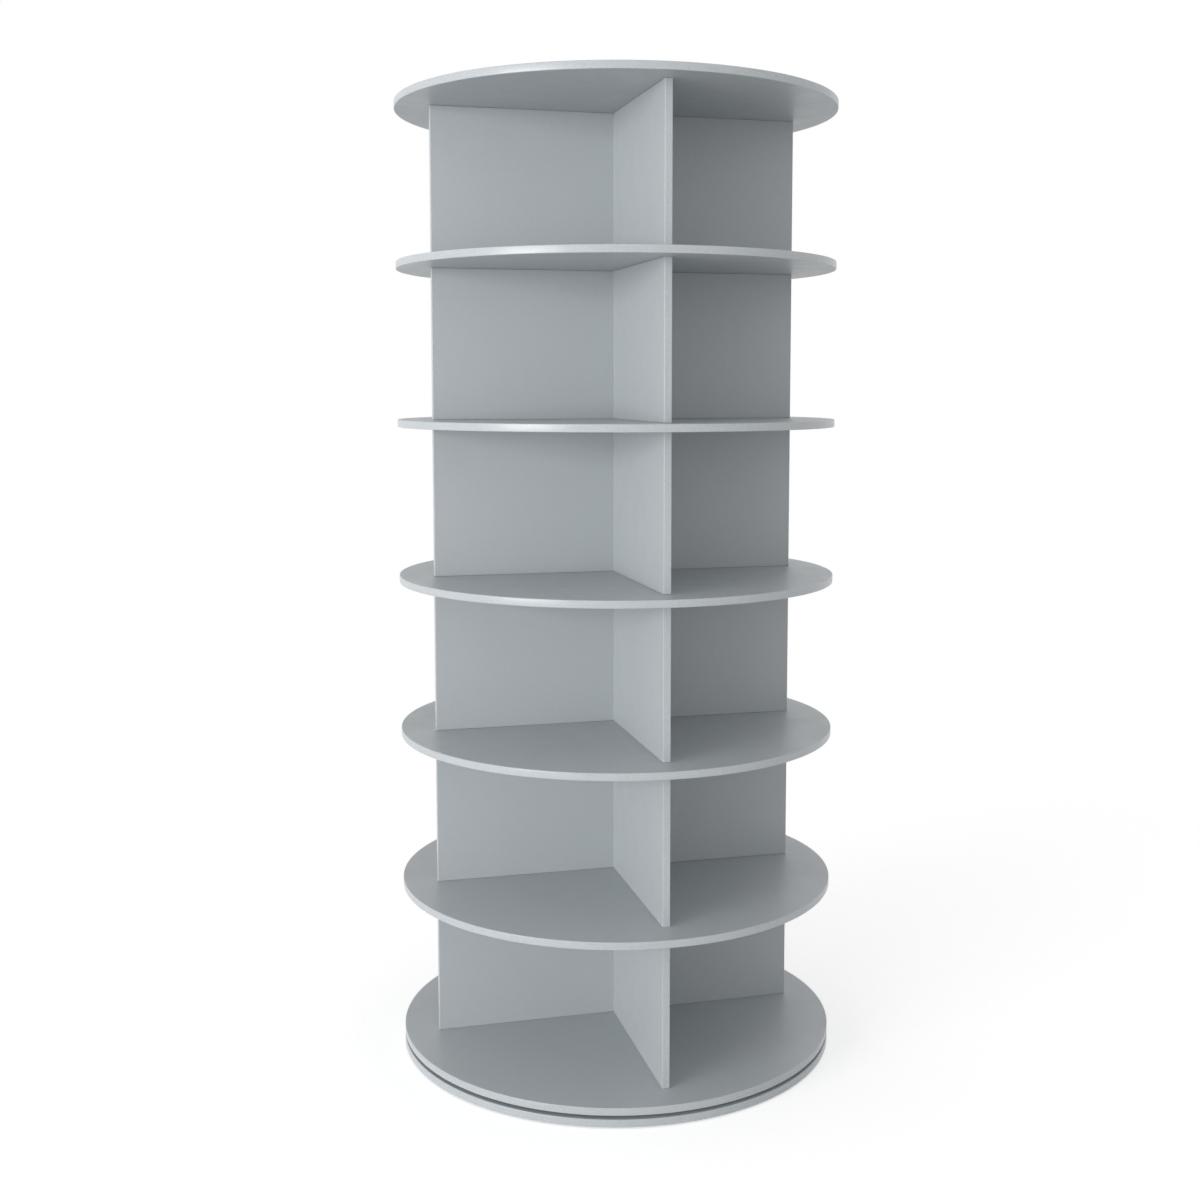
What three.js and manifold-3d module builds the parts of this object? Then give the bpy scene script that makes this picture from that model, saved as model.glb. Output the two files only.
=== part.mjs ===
// Rotating shoe tower: seven round laminate boards on crossed dividers, six tiers high,
// turning on a ring bearing above a fixed round base.
// Millimetres, +Z up. The origin is the middle of the floor face, under the turning axis.
// The long dividers run along X and the cross dividers along Y.

import * as THREE from 'three';
import { mergeVertices } from 'three/addons/utils/BufferGeometryUtils.js';
import Module from 'manifold-3d';

const wasm = await Module();
wasm.setup();

// Boards
const discRadius = 300;
const boardThickness = 10;
const tierClearHeight = 202;
const tierCount = 6;
const arris = 1;

// Dividers
const dividerSetback = 45;
const dividerArris = 0.8;
const seamGap = 0.2;
const lapClearance = 0.2;

// Dowels between dividers and discs
const dowelRadius = 3;
const dowelChamfer = 0.7;
const dowelDepthInDivider = 15;
const dowelDepthInEndDisc = 7;
const dowelReach_share = 0.7;
const dowelsPerLevel = 4;
const dowelClearance = 0.3;
const dowelEndClearance = 0.5;

// Turntable: two concentric rings with a ball groove in each facing wall
const turntableGap = 5;
const recessDepth = 2;
const ringWidth = 17.8;
const ringStep = 1.5;
const ringChamfer = 0.6;
const ballCircleRadius = 130;
const ballRadius = 2;
const ballCount = 16;
const grooveClearance = 0.5;
const ringSplit = 2.4;
const cageWall = 1.4;
const cageHeight = 3;
const ringFit = 0.5;
const runningClearance = 3;

// Screw holes that fix each ring to its disc
const screwHolesPerRing = 4;
const outerScrewAngle = 0;
const innerScrewAngle = Math.PI / 4;
const screwHoleRadius = 2.2;
const screwHeadRadius = 4.2;
const screwHeadDepth = 2.2;
const pilotRadius = 1.3;
const pilotDepth = 5;
const accessHoleRadius = 8;

// Foot pads
const padCount = 4;
const padHeight = 2;
const padFootRadius = 14;
const padTopRadius = 16;
const padSetback = 55;
const padAngle = Math.PI / 4;

// One overrun carries every cutting tool past the face that it opens
const overrun = 1;

// Facets
const discSegments = 64;
const ringSegments = 48;
const grooveSteps = 4;
const dowelSegments = 8;
const holeSegments = 12;
const padSegments = 16;
const ballSegments = 8;
const ballRings = 4;

// Heights that follow from the sizes above
const tierPitch = tierClearHeight + boardThickness;
const baseTop = padHeight + boardThickness;
const bottomShelfUnderside = baseTop + turntableGap;
const ballHeight = (baseTop + bottomShelfUnderside) / 2;
const bearingFloor = baseTop - recessDepth;
const bearingCeiling = bottomShelfUnderside + recessDepth;
const ringHeight = bearingCeiling - bearingFloor - ringStep - seamGap;

// Radii and reaches that follow from the sizes above
const dividerHalfLength = discRadius - dividerSetback;
const dowelReach = dowelReach_share * dividerHalfLength;
const padCircleRadius = discRadius - padSetback;
const outerRingBore = ballCircleRadius + ringSplit / 2;
const innerRingRim = ballCircleRadius - ringSplit / 2;
const ringOuterRadius = outerRingBore + ringWidth;
const ringInnerRadius = innerRingRim - ringWidth;
const outerScrewCircle = (outerRingBore + ringOuterRadius) / 2;
const innerScrewCircle = (innerRingRim + ringInnerRadius) / 2;
const grooveRadius = ballRadius + grooveClearance;

const laminate = {
    name: 'laminate', color: 0xb4babd, roughness: 0.42, metalness: 0,
};
const aluminium = {
    name: 'aluminium', color: 0xa9adb0, roughness: 0.35, metalness: 1,
};
const beech = {
    name: 'beech', color: 0xc9a476, roughness: 0.7, metalness: 0,
};
const nylon = {
    name: 'nylon', color: 0xe6e4dc, roughness: 0.5, metalness: 0,
};
const rubber = {
    name: 'rubber', color: 0x2b2d2f, roughness: 0.85, metalness: 0,
};

/** A closed solid made from a three.js geometry, with shared corners welded. */
function solidOf(geometry) {
    const bare = geometry.clone();
    bare.deleteAttribute('normal');
    bare.deleteAttribute('uv');
    const welded = mergeVertices(bare);
    const corners = welded.index.array;
    const kept = [];
    for (let i = 0; i < corners.length; i += 3) {
        const [a, b, c] = corners.subarray(i, i + 3);
        if (a !== b && b !== c && c !== a) {
            kept.push(a, b, c);
        }
    }
    const mesh = new wasm.Mesh({
        numProp: 3,
        vertProperties: new Float32Array(welded.attributes.position.array),
        triVerts: new Uint32Array(kept),
    });
    return new wasm.Manifold(mesh);
}

/** The three.js geometry of a solid. */
function geometryOf(solid) {
    const mesh = solid.getMesh();
    const geometry = new THREE.BufferGeometry();
    geometry.setAttribute('position', new THREE.BufferAttribute(mesh.vertProperties, 3));
    geometry.setIndex(new THREE.BufferAttribute(mesh.triVerts, 1));
    geometry.computeVertexNormals();
    return geometry;
}

/** A solid turned about Z from [radius, height] points, listed up the outside. */
function turned(profile, segments) {
    const points = profile.map(([radius, height]) => new THREE.Vector2(radius, height));
    const geometry = new THREE.LatheGeometry(points, segments);
    geometry.rotateX(Math.PI / 2);
    return solidOf(geometry);
}

/** An upright round cutter with its lower end at the given height. */
function roundCutter(radius, bottom, height, x, y, segments) {
    const geometry = new THREE.CylinderGeometry(radius, radius, height, segments);
    geometry.rotateX(Math.PI / 2);
    geometry.translate(x, y, bottom + height / 2);
    return solidOf(geometry);
}

/** Cuts each tool in turn from a body. */
function cutAll(body, tools) {
    return tools.reduce((rest, tool) => rest.subtract(tool), body);
}

/** The corners of a regular pattern on a circle about the turning axis. */
function circlePlaces(count, radius, startAngle) {
    const places = [];
    for (let i = 0; i < count; i += 1) {
        const angle = startAngle + (i * 2 * Math.PI) / count;
        places.push([radius * Math.cos(angle), radius * Math.sin(angle)]);
    }
    return places;
}

/** The four dowel places of a level: two under the long divider, two under the cross. */
function dowelPlaces() {
    return circlePlaces(dowelsPerLevel, dowelReach, 0);
}

/** The rim of a board: up the outside, with both arrises eased. */
function rimProfile() {
    return [
        [discRadius - arris, 0],
        [discRadius, arris],
        [discRadius, boardThickness - arris],
        [discRadius - arris, boardThickness],
    ];
}

/** A plain round board with its dowel holes from holeBottom to holeTop. */
function shelfBoard(holeBottom, holeTop) {
    const profile = [[0, 0], ...rimProfile(), [0, boardThickness]];
    const holes = dowelPlaces().map(([x, y]) => roundCutter(
        dowelRadius + dowelClearance, holeBottom, holeTop - holeBottom, x, y, dowelSegments,
    ));
    return cutAll(turned(profile, discSegments), holes);
}

/** The bottom shelf: blind dowel holes above, the inner ring's recess below. */
function bottomShelfBoard() {
    const recessInner = ringInnerRadius - ringFit;
    const recessOuter = ringOuterRadius + runningClearance;
    const profile = [
        [0, 0],
        [recessInner, 0],
        [recessInner, recessDepth],
        [recessOuter, recessDepth],
        [recessOuter, 0],
        ...rimProfile(),
        [0, boardThickness],
    ];
    const holeDepth = dowelDepthInEndDisc + dowelEndClearance;
    const dowelHoles = dowelPlaces().map(([x, y]) => roundCutter(
        dowelRadius + dowelClearance, boardThickness - holeDepth, holeDepth + overrun, x, y,
        dowelSegments,
    ));
    const pilots = circlePlaces(screwHolesPerRing, innerScrewCircle, innerScrewAngle);
    const pilotHoles = pilots.map(([x, y]) => roundCutter(
        pilotRadius, recessDepth - overrun, pilotDepth + overrun, x, y, dowelSegments,
    ));
    return cutAll(turned(profile, discSegments), [...dowelHoles, ...pilotHoles]);
}

/** The fixed base: the outer ring's recess above, pilot holes and one access hole. */
function baseBoard() {
    const recessInner = ringInnerRadius - runningClearance;
    const recessOuter = ringOuterRadius + ringFit;
    const recessFloor = boardThickness - recessDepth;
    const profile = [
        [0, 0],
        ...rimProfile(),
        [recessOuter, boardThickness],
        [recessOuter, recessFloor],
        [recessInner, recessFloor],
        [recessInner, boardThickness],
        [0, boardThickness],
    ];
    const pilots = circlePlaces(screwHolesPerRing, outerScrewCircle, outerScrewAngle);
    const pilotHoles = pilots.map(([x, y]) => roundCutter(
        pilotRadius, recessFloor - pilotDepth, pilotDepth + overrun, x, y, dowelSegments,
    ));
    const [[accessX, accessY]] = circlePlaces(1, innerScrewCircle, innerScrewAngle);
    const accessHole = roundCutter(
        accessHoleRadius, -overrun, boardThickness + 2 * overrun, accessX, accessY, holeSegments,
    );
    return cutAll(turned(profile, discSegments), [...pilotHoles, accessHole]);
}

/** A divider board on edge along X, with its arrises eased and its dowel holes. */
function dividerBlank() {
    const halfThickness = boardThickness / 2;
    const height = tierClearHeight - 2 * seamGap;
    const outline = new THREE.Shape([
        new THREE.Vector2(-dividerHalfLength, -halfThickness + dividerArris),
        new THREE.Vector2(-dividerHalfLength + dividerArris, -halfThickness),
        new THREE.Vector2(dividerHalfLength - dividerArris, -halfThickness),
        new THREE.Vector2(dividerHalfLength, -halfThickness + dividerArris),
        new THREE.Vector2(dividerHalfLength, halfThickness - dividerArris),
        new THREE.Vector2(dividerHalfLength - dividerArris, halfThickness),
        new THREE.Vector2(-dividerHalfLength + dividerArris, halfThickness),
        new THREE.Vector2(-dividerHalfLength, halfThickness - dividerArris),
    ]);
    const geometry = new THREE.ExtrudeGeometry(outline, {
        depth: height,
        bevelEnabled: false,
    });
    const holeRadius = dowelRadius + dowelClearance;
    const holeDepth = dowelDepthInDivider + dowelEndClearance;
    const holes = [];
    for (const x of [-dowelReach, dowelReach]) {
        holes.push(roundCutter(
            holeRadius, -overrun, holeDepth + overrun, x, 0, dowelSegments,
        ));
        holes.push(roundCutter(
            holeRadius, height - holeDepth, holeDepth + overrun, x, 0, dowelSegments,
        ));
    }
    return cutAll(solidOf(geometry), holes);
}

/** The halving slot of a divider, from one edge to just past mid height. */
function halvingSlot(bottom, top) {
    const width = boardThickness + 2 * lapClearance;
    const depth = boardThickness + 2 * overrun;
    const geometry = new THREE.BoxGeometry(width, depth, top - bottom);
    geometry.translate(0, 0, (top + bottom) / 2);
    return solidOf(geometry);
}

/** The long divider, slotted from above, or the cross divider, slotted from below. */
function dividerBoard(slottedFromAbove) {
    const height = tierClearHeight - 2 * seamGap;
    const slot = slottedFromAbove
        ? halvingSlot(height / 2 - lapClearance / 2, height + overrun)
        : halvingSlot(-overrun, height / 2 + lapClearance / 2);
    return dividerBlank().subtract(slot);
}

/** A beech dowel with chamfered ends, standing on its lower end. */
function dowel(length) {
    return turned([
        [0, 0],
        [dowelRadius - dowelChamfer, 0],
        [dowelRadius, dowelChamfer],
        [dowelRadius, length - dowelChamfer],
        [dowelRadius - dowelChamfer, length],
        [0, length],
    ], dowelSegments);
}

/** Points of the ball groove in a ring's wall, from below the ball to above it. */
function grooveArc(wallRadius, side, height) {
    const wallOffset = Math.abs(wallRadius - ballCircleRadius);
    const halfAngle = Math.acos(wallOffset / grooveRadius);
    const points = [];
    for (let i = 0; i <= grooveSteps; i += 1) {
        const angle = -halfAngle + (2 * halfAngle * i) / grooveSteps;
        points.push([
            ballCircleRadius + side * grooveRadius * Math.cos(angle),
            height + grooveRadius * Math.sin(angle),
        ]);
    }
    return points;
}

/** The countersunk screw holes of a ring, opening at its top or at its underside. */
function ringScrewHoles(circleRadius, startAngle, headAtTop) {
    const tools = [];
    for (const [x, y] of circlePlaces(screwHolesPerRing, circleRadius, startAngle)) {
        tools.push(roundCutter(
            screwHoleRadius, -overrun, ringHeight + 2 * overrun, x, y, dowelSegments,
        ));
        const slope = (screwHeadRadius - screwHoleRadius) / screwHeadDepth;
        const wide = screwHeadRadius + slope * overrun;
        const length = screwHeadDepth + overrun;
        const sink = headAtTop
            ? new THREE.CylinderGeometry(wide, screwHoleRadius, length, dowelSegments)
            : new THREE.CylinderGeometry(screwHoleRadius, wide, length, dowelSegments);
        sink.rotateX(Math.PI / 2);
        const middle = headAtTop
            ? ringHeight + overrun - length / 2
            : length / 2 - overrun;
        sink.translate(x, y, middle);
        tools.push(solidOf(sink));
    }
    return tools;
}

/** The fixed outer ring: its groove faces inward and its screws go down. */
function outerRing() {
    const groove = grooveArc(outerRingBore, 1, ballHeight - bearingFloor - seamGap);
    const profile = [
        [outerRingBore, 0],
        [ringOuterRadius - ringChamfer, 0],
        [ringOuterRadius, ringChamfer],
        [ringOuterRadius, ringHeight - ringChamfer],
        [ringOuterRadius - ringChamfer, ringHeight],
        [outerRingBore, ringHeight],
        ...groove.reverse(),
        [outerRingBore, 0],
    ];
    const holes = ringScrewHoles(outerScrewCircle, outerScrewAngle, true);
    return cutAll(turned(profile, ringSegments), holes);
}

/** The turning inner ring: its groove faces outward and its screws go up. */
function innerRing() {
    const ringBottom = bearingFloor + ringStep;
    const profile = [
        [ringInnerRadius + ringChamfer, 0],
        [innerRingRim, 0],
        ...grooveArc(innerRingRim, -1, ballHeight - ringBottom),
        [innerRingRim, ringHeight],
        [ringInnerRadius + ringChamfer, ringHeight],
        [ringInnerRadius, ringHeight - ringChamfer],
        [ringInnerRadius, ringChamfer],
        [ringInnerRadius + ringChamfer, 0],
    ];
    const holes = ringScrewHoles(innerScrewCircle, innerScrewAngle, false);
    return cutAll(turned(profile, ringSegments), holes);
}

/** The ball cage: a thin band between the rings that carries every ball at its middle. */
function ballCage() {
    const inner = ballCircleRadius - cageWall / 2;
    const outer = ballCircleRadius + cageWall / 2;
    const band = turned([
        [inner, -cageHeight / 2],
        [outer, -cageHeight / 2],
        [outer, cageHeight / 2],
        [inner, cageHeight / 2],
        [inner, -cageHeight / 2],
    ], ringSegments);
    const balls = circlePlaces(ballCount, ballCircleRadius, 0).map(([x, y]) => {
        const geometry = new THREE.SphereGeometry(ballRadius, ballSegments, ballRings);
        geometry.translate(x, y, 0);
        return solidOf(geometry);
    });
    return balls.reduce((rest, ball) => rest.add(ball), band);
}

/** A stick-on foot pad that widens towards the base. */
function footPad() {
    return turned([
        [0, 0],
        [padFootRadius, 0],
        [padTopRadius, padHeight - seamGap],
        [0, padHeight - seamGap],
    ], padSegments);
}

/** A named mesh of a solid, with a material of its own. */
function piece(name, solid, finish, x = 0, y = 0, z = 0) {
    const mesh = new THREE.Mesh(geometryOf(solid), new THREE.MeshStandardMaterial(finish));
    mesh.name = name;
    mesh.position.set(x, y, z);
    return mesh;
}

/** The fixed part: foot pads, base board and outer ring. */
function baseGroup() {
    const group = new THREE.Group();
    const pads = circlePlaces(padCount, padCircleRadius, padAngle);
    pads.forEach(([x, y], i) => {
        group.add(piece(`foot_pad_${i + 1}`, footPad(), rubber, x, y));
    });
    group.add(piece('base_disc', baseBoard(), laminate, 0, 0, padHeight));
    group.add(piece('bearing_outer_ring', outerRing(), aluminium, 0, 0, bearingFloor + seamGap));
    return group;
}

/** The discs of the tower, from the bottom shelf to the top. */
function discGroup() {
    const group = new THREE.Group();
    group.position.z = bottomShelfUnderside;
    group.add(piece('bottom_shelf', bottomShelfBoard(), laminate));
    for (let i = 1; i < tierCount; i += 1) {
        const board = shelfBoard(-overrun, boardThickness + overrun);
        group.add(piece(`shelf_${i + 1}`, board, laminate, 0, 0, i * tierPitch));
    }
    const topBoard = shelfBoard(-overrun, dowelDepthInEndDisc + dowelEndClearance);
    group.add(piece('top_disc', topBoard, laminate, 0, 0, tierCount * tierPitch));
    return group;
}

/** The crossed dividers of every tier. */
function dividerGroup() {
    const group = new THREE.Group();
    group.position.z = bottomShelfUnderside + boardThickness + seamGap;
    for (let i = 0; i < tierCount; i += 1) {
        const z = i * tierPitch;
        group.add(piece(`tier_${i + 1}_long_divider`, dividerBoard(true), laminate, 0, 0, z));
        const cross = piece(`tier_${i + 1}_cross_divider`, dividerBoard(false), laminate, 0, 0, z);
        cross.rotation.z = Math.PI / 2;
        group.add(cross);
    }
    return group;
}

/** The dowels of every level: blind in the end discs, right through the shelves between. */
function dowelGroup() {
    const group = new THREE.Group();
    const endLength = dowelDepthInEndDisc + dowelDepthInDivider;
    const throughLength = boardThickness + 2 * dowelDepthInDivider;
    for (let level = 0; level <= tierCount; level += 1) {
        const boardUnderside = bottomShelfUnderside + level * tierPitch;
        const isBottom = level === 0;
        const isTop = level === tierCount;
        const length = isBottom || isTop ? endLength : throughLength;
        const start = isBottom
            ? boardUnderside + boardThickness - dowelDepthInEndDisc
            : boardUnderside - dowelDepthInDivider;
        dowelPlaces().forEach(([x, y], i) => {
            const name = `dowel_level_${level + 1}_${i + 1}`;
            group.add(piece(name, dowel(length), beech, x, y, start));
        });
    }
    return group;
}

/** The turning part: inner ring, discs, dividers and dowels. */
function towerGroup() {
    const group = new THREE.Group();
    group.add(piece('bearing_inner_ring', innerRing(), aluminium, 0, 0, bearingFloor + ringStep));
    group.add(discGroup(), dividerGroup(), dowelGroup());
    return group;
}

const shoeTower = new THREE.Group();
shoeTower.add(baseGroup());
shoeTower.add(piece('ball_cage', ballCage(), nylon, 0, 0, ballHeight));
shoeTower.add(towerGroup());

export default shoeTower;
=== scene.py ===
"""Looks of a rotating storage tower: round laminate boards on crossed dividers and a bearing.

Every length is in metres. The tower stands on the floor at the origin with +Z up, the long
dividers run along X and the cross dividers along Y.
"""

import logging
import math
from dataclasses import dataclass, replace
from enum import Enum, IntEnum

import bpy
import numpy as np
from mathutils import Matrix, Vector


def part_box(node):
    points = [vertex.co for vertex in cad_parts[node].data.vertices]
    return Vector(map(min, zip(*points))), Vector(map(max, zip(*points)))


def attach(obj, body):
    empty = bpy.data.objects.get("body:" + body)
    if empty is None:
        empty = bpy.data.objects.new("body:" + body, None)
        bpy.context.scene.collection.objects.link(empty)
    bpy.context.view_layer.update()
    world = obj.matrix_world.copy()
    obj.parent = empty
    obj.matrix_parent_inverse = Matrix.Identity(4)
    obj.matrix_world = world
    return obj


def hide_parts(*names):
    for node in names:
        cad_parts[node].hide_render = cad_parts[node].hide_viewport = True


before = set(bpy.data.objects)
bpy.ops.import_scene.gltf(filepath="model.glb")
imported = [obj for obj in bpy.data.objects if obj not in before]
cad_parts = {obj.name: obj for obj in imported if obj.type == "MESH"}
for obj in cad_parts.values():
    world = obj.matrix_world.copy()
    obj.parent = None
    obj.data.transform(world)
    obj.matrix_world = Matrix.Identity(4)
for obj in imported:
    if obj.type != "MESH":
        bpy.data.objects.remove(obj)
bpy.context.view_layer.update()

log = logging.getLogger("rotating_tower")

QUARTER = math.pi / 2.0

Material = bpy.types.Material
Piece = bpy.types.Object
Socket = bpy.types.NodeSocket
Span = tuple[float, float]


class Body(Enum):
    """The rigid bodies of the tower."""

    BASE = "base"
    TOWER = "tower"
    CAGE = "cage"


class Slot(Enum):
    """The record's material slots."""

    LAMINATE = "laminate"
    ALUMINIUM = "aluminium"
    NYLON = "nylon"
    BEECH = "beech"
    RUBBER = "rubber"


class Ring(Enum):
    """The bearing's rings, by the side of the balls that each lies on."""

    OUTER = 1
    INNER = -1

    @property
    def label(self) -> str:
        """The ring's name."""
        return f"{self.name.lower()}_ring"

    @property
    def body(self) -> Body:
        """The body that the ring is screwed to."""
        return Body.BASE if self is Ring.OUTER else Body.TOWER


class Region(IntEnum):
    """The parts of a board's skin, in the order of its material slots."""

    FACE = 0
    BAND = 1
    CORE = 2


class Lay(Enum):
    """How a finish's marks lie: the scale that draws them out on each axis."""

    EVEN = (1.0, 1.0, 1.0)
    AROUND = (0.03, 0.03, 1.0)
    UPRIGHT = (1.0, 1.0, 0.03)
    GRAINED = (1.0, 1.0, 0.08)
    TURNED = (1.0, 1.0, 0.0)


# Node sheets


@dataclass(frozen=True)
class Colour:
    """A colour as it is seen on a screen, each channel from 0 to 1."""

    red: float
    green: float
    blue: float

    def linear(self) -> tuple[float, float, float, float]:
        """The colour in linear light, with full cover."""
        return (*(self.channel(c) for c in (self.red, self.green, self.blue)), 1.0)

    def shaded(self, factor: float) -> "Colour":
        """The colour with each channel times a factor."""
        return Colour(self.red * factor, self.green * factor, self.blue * factor)

    @staticmethod
    def channel(value: float) -> float:
        """One channel from screen light to linear light, by the sRGB curve."""
        return value / 12.92 if value <= 0.04045 else ((value + 0.055) / 1.055) ** 2.4


WHITE = Colour(1.0, 1.0, 1.0)


@dataclass(frozen=True)
class Grain:
    """A pattern: its size, finer layers, the part of its range in use, and how it lies.

    It is soft noise, or the distance to the nearest of a scatter of points.
    """

    size: float
    detail: float = 2.0
    window: Span | None = None
    lay: Lay = Lay.EVEN
    scattered: bool = False


class NodeSheet:
    """The node tree of a material or of the world, with short calls for its nodes."""

    MIX_A, MIX_B, MIXED = 6, 7, 2  # a Mix node's colour sockets, by number
    RANGE = ("From Min", "From Max", "To Min", "To Max")

    def __init__(self, name: str, world: bool = False) -> None:
        """Starts an empty tree.

        Args:
            name: The name of the material or world.
            world: Whether it is a world.
        """
        self.owner = (bpy.data.worlds if world else bpy.data.materials).new(name)
        self.output = f"ShaderNodeOutput{'World' if world else 'Material'}"
        self.owner.use_nodes = True
        self.tree = self.owner.node_tree
        self.tree.nodes.clear()
        self.coordinates = self.add("ShaderNodeTexCoord").outputs
        self.place = self.coordinates["Object"]
        self.patterns: dict[Grain, Socket] = {}

    def add(
        self, kind: str, inputs: dict[str | int, object] | None = None, **settings: object,
    ) -> bpy.types.Node:
        """Adds a node.

        Args:
            kind: The node's class name.
            inputs: What each input takes: a socket to link, a colour or a plain value.
            settings: Properties to set on it.

        Returns:
            The new node.
        """
        node = self.tree.nodes.new(kind)
        for key, value in settings.items():
            setattr(node, key, value)
        for key, value in (inputs or {}).items():
            if isinstance(value, Socket):
                self.tree.links.new(value, node.inputs[key])
            else:
                plain = value.linear() if isinstance(value, Colour) else value
                node.inputs[key].default_value = plain
        return node

    def length(self, place: Socket) -> Socket:
        """How far a place is from the origin."""
        return self.add("ShaderNodeVectorMath", {0: place}, operation="LENGTH").outputs["Value"]

    def laid(self, lay: Lay) -> Socket:
        """The object's coordinates, scaled as the marks lie.

        Args:
            lay: How they lie. For turned marks X becomes the distance from the Z axis.

        Returns:
            The coordinates.
        """
        if lay is Lay.EVEN:
            return self.place
        scaled = self.add("ShaderNodeMapping", {"Vector": self.place, "Scale": lay.value})
        if lay is not Lay.TURNED:
            return scaled.outputs["Vector"]
        height = self.add("ShaderNodeSeparateXYZ", {"Vector": self.place}).outputs["Z"]
        inputs = {"X": self.length(scaled.outputs["Vector"]), "Z": height}
        return self.add("ShaderNodeCombineXYZ", inputs).outputs["Vector"]

    def pattern(self, grain: Grain) -> Socket:
        """A grain as a number, from 0 to 1 over its window if it has one.

        Args:
            grain: The grain. Asked for twice, it is made once.

        Returns:
            The number.
        """
        if grain not in self.patterns:
            kind, out = ("Voronoi", "Distance") if grain.scattered else ("Noise", "Fac")
            place, scale = self.laid(grain.lay), 1.0 / grain.size
            inputs = {"Scale": scale, "Detail": grain.detail, "Vector": place}
            made = self.add(f"ShaderNodeTex{kind}", inputs).outputs[out]
            made = self.ranged(made, window=grain.window) if grain.window else made
            self.patterns[grain] = made
        return self.patterns[grain]

    def ranged(
        self, value: Socket, ends: Span = (0.0, 1.0), window: Span = (0.0, 1.0),
    ) -> Socket:
        """Maps a window of a value's range onto two ends, and holds it there beyond."""
        inputs = {"Value": value, **dict(zip(self.RANGE, (*window, *ends)))}
        return self.add("ShaderNodeMapRange", inputs).outputs["Result"]

    def blend(self, share: Socket, first: Colour | Socket, second: Colour | Socket) -> Socket:
        """Mixes two colours, the second by the share."""
        inputs = {"Factor": share, self.MIX_A: first, self.MIX_B: second}
        return self.add("ShaderNodeMix", inputs, data_type="RGBA").outputs[self.MIXED]

    def bump(self, height: Socket, depth: float, below: Socket | None = None) -> Socket:
        """Bends the normal, or the one below, by a height whose 1 is worth the depth."""
        inputs = {"Distance": depth, "Height": height} | ({"Normal": below} if below else {})
        return self.add("ShaderNodeBump", inputs).outputs["Normal"]

    def glow(self, strength: float) -> Socket:
        """Plain white light that a surface gives off."""
        return self.add("ShaderNodeEmission", {"Strength": strength}).outputs["Emission"]

    def combined(self, operation: str, first: Socket, second: Socket) -> Socket:
        """One number from two, by one of a Math node's operations."""
        inputs = {0: first, 1: second}
        return self.add("ShaderNodeMath", inputs, operation=operation).outputs["Value"]

    def seen(self) -> Socket:
        """Whether a ray shows the background: from the camera, by a gloss or through glass.

        Returns:
            1 for such a ray and 0 for one that only lights.
        """
        path = self.add("ShaderNodeLightPath").outputs
        bent = self.combined("MAXIMUM", path["Is Glossy Ray"], path["Is Transmission Ray"])
        return self.combined("MAXIMUM", path["Is Camera Ray"], bent)

    def mixed(self, share: Socket, first: Socket, second: Socket) -> Socket:
        """Mixes two shaders, the second by the share."""
        inputs = {"Fac": share, 1: first, 2: second}
        return self.add("ShaderNodeMixShader", inputs).outputs["Shader"]

    def ended(self, surface: Socket) -> Material | bpy.types.World:
        """Ends the sheet in a shader, and gives the finished material or world."""
        self.add(self.output, {"Surface": surface})
        return self.owner

    def shader(
        self, colour: Socket, roughness: Socket, normal: Socket,
        metallic: float = 0.0, specular: float = 0.5,
    ) -> Material:
        """Ends the sheet in a principled shader, and gives the finished material."""
        inputs = {
            "Base Color": colour, "Roughness": roughness, "Normal": normal,
            "Metallic": metallic, "Specular IOR Level": specular,
        }
        return self.ended(self.add("ShaderNodeBsdfPrincipled", inputs).outputs["BSDF"])


# Finishes


@dataclass(frozen=True)
class Finish:
    """Two shades mixed by a grain, flecks of a third, and a skin whose grain is its relief.

    With no skin the relief follows the shade, and with no gloss the roughness follows the
    relief. A ripple bends the surface below it.
    """

    name: str
    dark: Colour
    pale: Colour
    shade: Grain
    depth: float
    roughness: Span
    skin: Grain | None = None
    gloss: Grain | None = None
    flecks: Grain | None = None
    fleck: Colour | None = None
    fleck_share: float = 0.5
    ripple: Grain | None = None
    ripple_depth: float = 0.0
    metallic: float = 0.0
    specular: float = 0.5

    def build(self) -> Material:
        """Makes the finish.

        Returns:
            Its material.
        """
        sheet = NodeSheet(self.name)
        skin, relief = sheet.pattern(self.skin or self.shade), None
        base = sheet.blend(sheet.pattern(self.shade), self.dark, self.pale)
        if self.flecks:
            share = sheet.ranged(sheet.pattern(self.flecks), (0.0, self.fleck_share))
            base = sheet.blend(share, base, self.fleck)
        rough = sheet.ranged(sheet.pattern(self.gloss) if self.gloss else skin, self.roughness)
        if self.ripple:
            relief = sheet.bump(sheet.pattern(self.ripple), self.ripple_depth)
        relief = sheet.bump(skin, self.depth, relief)
        return sheet.shader(base, rough, relief, self.metallic, self.specular)


BOARD = Colour(0.700, 0.721, 0.734)
BAND = BOARD.shaded(1.01)


@dataclass(frozen=True)
class Laminate(Finish):
    """Satin melamine: a flat pale tone with a fine pearled press texture."""

    name: str = "board_face"
    dark: Colour = BOARD.shaded(0.982)
    pale: Colour = BOARD.shaded(1.018)
    shade: Grain = Grain(0.11, 3.0)
    flecks: Grain = Grain(0.0011, 1.0, (0.35, 0.65))
    fleck: Colour = BOARD.shaded(1.036)
    skin: Grain = Grain(0.0011, 0.0, scattered=True)
    depth: float = 0.000016
    ripple: Grain = Grain(0.009)
    ripple_depth: float = 0.00001
    gloss: Grain = Grain(0.0275, 4.0, (0.3, 0.7))
    roughness: Span = (0.36, 0.46)


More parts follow.
